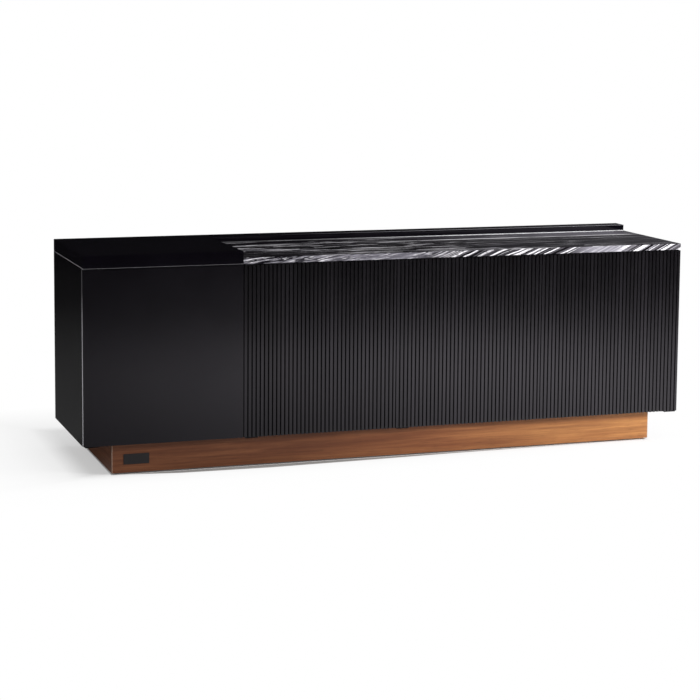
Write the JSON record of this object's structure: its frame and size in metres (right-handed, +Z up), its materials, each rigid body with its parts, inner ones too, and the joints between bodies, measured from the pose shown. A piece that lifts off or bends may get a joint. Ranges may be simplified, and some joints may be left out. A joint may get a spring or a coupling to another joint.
{
  "type": "sideboard buffet",
  "caption": "Long low storage sideboard: flat door and slatted doors on pivots, L-shaped lacquered top with a marble slab let in, recessed walnut plinth.",
  "frame": {"origin": "on the floor, under the middle of the body", "axes": "+X along the length to the right of someone facing the doors, -Y out of the doors, +Z up"},
  "size_m": [2, 0.48, 0.68],
  "materials": {
    "gloss_lacquer": "high-gloss black lacquer",
    "satin_lacquer": "satin black lacquer",
    "slat_lacquer": "satin black lacquer on slats",
    "marble": "polished black marble with silver veins",
    "walnut_veneer": "satin walnut veneer, grain level",
    "plain_wood": "sawn softwood",
    "dowel_wood": "beech",
    "bare_plate": "satin dark grey, bare",
    "nylon": "plain nylon",
    "bumper_rubber": "soft dark rubber",
    "back_board": "black foil-faced fibreboard",
    "latch_plastic": "dark grey moulded plastic",
    "plunger_plastic": "grey acetal",
    "spring_steel": "spring steel wire",
    "nickel_steel": "nickel-plated steel",
    "black_steel": "black-coated steel",
    "zinc_screws": "zinc-plated steel",
    "interior_laminate": "dark matt laminate"
  },
  "bodies": {
    "root": {"back_panel": "back_board", "back_panel_screws": "zinc_screws", "carcass_bottom": "interior_laminate", "carcass_dowels": "dowel_wood", "carcass_side_left": "gloss_lacquer", "carcass_side_right": "gloss_lacquer", "carcass_top": "interior_laminate", "door_bumpers": "bumper_rubber", "fixed_pivot_leaves": "black_steel", "glides": "nylon", "hardware_screws": "zinc_screws", "lacquered_top": "gloss_lacquer", "latch_housing_1": "latch_plastic", "latch_housing_2": "latch_plastic", "latch_housing_3": "latch_plastic", "latch_housing_4": "latch_plastic", "latch_spring_1": "spring_steel", "latch_spring_2": "spring_steel", "latch_spring_3": "spring_steel", "latch_spring_4": "spring_steel", "marble_slab": "marble", "nameplate": "bare_plate", "partition_1": "interior_laminate", "partition_2": "interior_laminate", "partition_3": "interior_laminate", "plinth_back": "walnut_veneer", "plinth_corner_blocks": "plain_wood", "plinth_cross_rails": "plain_wood", "plinth_front": "walnut_veneer", "plinth_left": "walnut_veneer", "plinth_right": "walnut_veneer", "shelf_1": "interior_laminate", "shelf_2": "interior_laminate", "shelf_3": "interior_laminate", "shelf_4": "interior_laminate", "shelf_pins": "nickel_steel", "top_fixing_screws": "zinc_screws"},
    "door_1": {"door_1_panel": "satin_lacquer", "door_1_pivot_leaves": "black_steel", "door_1_screws": "zinc_screws", "door_1_strike_plate": "nickel_steel"},
    "plunger_1": {"latch_plunger_1": "plunger_plastic"},
    "door_2": {"door_2_backing": "slat_lacquer", "door_2_pivot_leaves": "black_steel", "door_2_screws": "zinc_screws", "door_2_slats": "slat_lacquer", "door_2_strike_plate": "nickel_steel"},
    "plunger_2": {"latch_plunger_2": "plunger_plastic"},
    "door_3": {"door_3_backing": "slat_lacquer", "door_3_pivot_leaves": "black_steel", "door_3_screws": "zinc_screws", "door_3_slats": "slat_lacquer", "door_3_strike_plate": "nickel_steel"},
    "plunger_3": {"latch_plunger_3": "plunger_plastic"},
    "door_4": {"door_4_backing": "slat_lacquer", "door_4_pivot_leaves": "black_steel", "door_4_screws": "zinc_screws", "door_4_slats": "slat_lacquer", "door_4_strike_plate": "nickel_steel"},
    "plunger_4": {"latch_plunger_4": "plunger_plastic"}
  },
  "joints": [
    {"name": "door_1_swing", "type": "hinge", "parent": "root", "child": "door_1", "pos_m": [-0.988, -0.233, 0.3675], "axis": [0, 0, -1], "range_deg": [0, 95]},
    {"name": "door_2_swing", "type": "hinge", "parent": "root", "child": "door_2", "pos_m": [-0.4865, -0.233, 0.3675], "axis": [0, 0, -1], "range_deg": [0, 95]},
    {"name": "door_3_swing", "type": "hinge", "parent": "root", "child": "door_3", "pos_m": [0.0135, -0.233, 0.3675], "axis": [0, 0, -1], "range_deg": [0, 95]},
    {"name": "door_4_swing", "type": "hinge", "parent": "root", "child": "door_4", "pos_m": [0.988, -0.233, 0.3675], "axis": [0, 0, 1], "range_deg": [0, 95]},
    {"name": "latch_1_push", "type": "slide", "parent": "root", "child": "plunger_1", "axis": [0, 1, 0], "range_m": [0, 0.003], "stiffness_N_per_m": 400, "springref_m": -0.002, "deforming": ["latch_spring_1"]},
    {"name": "latch_2_push", "type": "slide", "parent": "root", "child": "plunger_2", "axis": [0, 1, 0], "range_m": [0, 0.003], "stiffness_N_per_m": 400, "springref_m": -0.002, "deforming": ["latch_spring_2"]},
    {"name": "latch_3_push", "type": "slide", "parent": "root", "child": "plunger_3", "axis": [0, 1, 0], "range_m": [0, 0.003], "stiffness_N_per_m": 400, "springref_m": -0.002, "deforming": ["latch_spring_3"]},
    {"name": "latch_4_push", "type": "slide", "parent": "root", "child": "plunger_4", "axis": [0, 1, 0], "range_m": [0, 0.003], "stiffness_N_per_m": 400, "springref_m": -0.002, "deforming": ["latch_spring_4"]}
  ]
}
